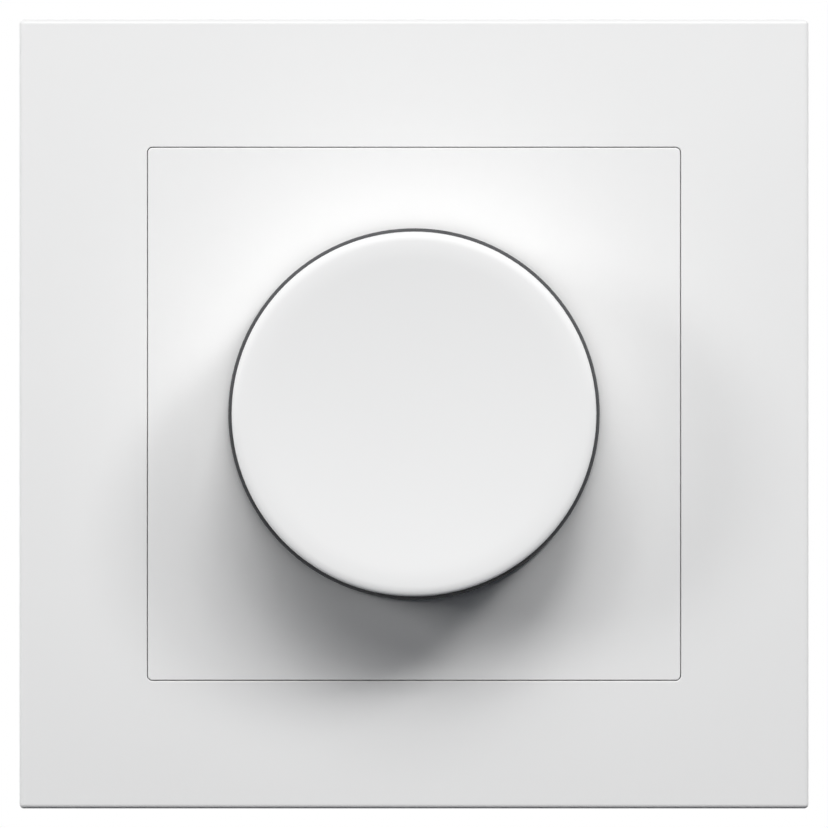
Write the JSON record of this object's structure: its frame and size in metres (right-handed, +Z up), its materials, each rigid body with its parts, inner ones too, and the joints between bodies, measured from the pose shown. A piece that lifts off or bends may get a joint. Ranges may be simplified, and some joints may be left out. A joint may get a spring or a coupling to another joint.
{
  "type": "dimmer switch",
  "caption": "Flush-mounted rotary dimmer switch: round knob that turns and pushes, flat centre plate, square cover frame, and a housing with terminals behind.",
  "frame": {"origin": "on the knob's axis in the wall plane", "axes": "+X to the right and +Z up as seen from the room, +Y into the wall along the knob's axis"},
  "size_m": [0.0816, 0.049, 0.0816],
  "materials": {
    "white_cover": "satin gloss",
    "white_knob": "satin gloss",
    "dark_ring": "satin",
    "grey_plastic": "matt",
    "black_plastic": "matt",
    "zinc_steel": "zinc plated",
    "spring_steel": "drawn",
    "brass": "turned",
    "aluminium": "rolled",
    "board": "lacquered",
    "ferrite": "matt",
    "copper_enamel": "enamelled",
    "film_red": "cast",
    "can_blue": "sleeved"
  },
  "bodies": {
    "insert": {"cover_frame": "white_cover", "centre_plate": "white_cover", "plate_nut": "grey_plastic", "insert_cover": "grey_plastic", "support_ring": "zinc_steel", "housing": "black_plastic", "housing_screws": "zinc_steel", "heat_sink": "aluminium", "circuit_board": "board", "pot_body": "zinc_steel", "switch_body": "black_plastic", "switch_spring": "spring_steel", "power_transistor_1": "black_plastic", "power_transistor_2": "black_plastic", "choke_core": "ferrite", "choke_winding": "copper_enamel", "fuse": "black_plastic", "electrolytic_capacitor": "can_blue", "film_capacitor": "film_red", "control_chip": "black_plastic", "terminal_pillar_1": "brass", "terminal_pillar_2": "brass", "terminal_pillar_3": "brass"},
    "rotor": {"pot_rotor": "grey_plastic"},
    "knob": {"knob_cap": "white_knob", "knob_ring": "dark_ring", "knob_clip": "spring_steel", "pot_shaft": "zinc_steel"},
    "plunger": {"switch_plunger": "grey_plastic"},
    "claw_left": {"claw_left": "zinc_steel"},
    "claw_screw_left": {"claw_screw_left": "zinc_steel"},
    "claw_right": {"claw_right": "zinc_steel"},
    "claw_screw_right": {"claw_screw_right": "zinc_steel"},
    "terminal_screw_1": {"terminal_screw_1": "zinc_steel"},
    "terminal_screw_2": {"terminal_screw_2": "zinc_steel"},
    "terminal_screw_3": {"terminal_screw_3": "zinc_steel"}
  },
  "joints": [
    {"name": "knob_turn", "type": "hinge", "parent": "insert", "child": "rotor", "pos_m": [0, 0, 0], "axis": [0, 1, 0], "range_deg": [0, 270]},
    {"name": "knob_push", "type": "slide", "parent": "rotor", "child": "knob", "axis": [0, 1, 0], "range_m": [0, 0.0007], "stiffness_N_per_m": 2500, "springref_m": -0.0008},
    {"name": "plunger_push", "type": "slide", "parent": "insert", "child": "plunger", "axis": [0, 1, 0], "range_m": [0, 0.0007], "deforming": ["switch_spring"]},
    {"name": "claw_left_swing", "type": "hinge", "parent": "insert", "child": "claw_left", "pos_m": [-0.027, 0.003, 0], "axis": [0, 0, 1], "range_deg": [0, 15]},
    {"name": "claw_screw_left_drive", "type": "slide", "parent": "insert", "child": "claw_screw_left", "axis": [0, 1, 0], "range_m": [0, 0.001]},
    {"name": "claw_right_swing", "type": "hinge", "parent": "insert", "child": "claw_right", "pos_m": [0.027, 0.003, 0], "axis": [0, 0, -1], "range_deg": [0, 15]},
    {"name": "claw_screw_right_drive", "type": "slide", "parent": "insert", "child": "claw_screw_right", "axis": [0, 1, 0], "range_m": [0, 0.001]},
    {"name": "terminal_screw_1_drive", "type": "slide", "parent": "insert", "child": "terminal_screw_1", "axis": [0, -1, 0], "range_m": [0, 0.0026]},
    {"name": "terminal_screw_2_drive", "type": "slide", "parent": "insert", "child": "terminal_screw_2", "axis": [0, -1, 0], "range_m": [0, 0.0026]},
    {"name": "terminal_screw_3_drive", "type": "slide", "parent": "insert", "child": "terminal_screw_3", "axis": [0, -1, 0], "range_m": [0, 0.0026]}
  ],
  "couplings": [
    {"joint": "plunger_push", "follows": "knob_push", "ratio": 1},
    {"joint": "claw_screw_left_drive", "follows": "claw_left_swing", "m_per_rad": 0.0038159},
    {"joint": "claw_screw_right_drive", "follows": "claw_right_swing", "m_per_rad": 0.0038159}
  ]
}
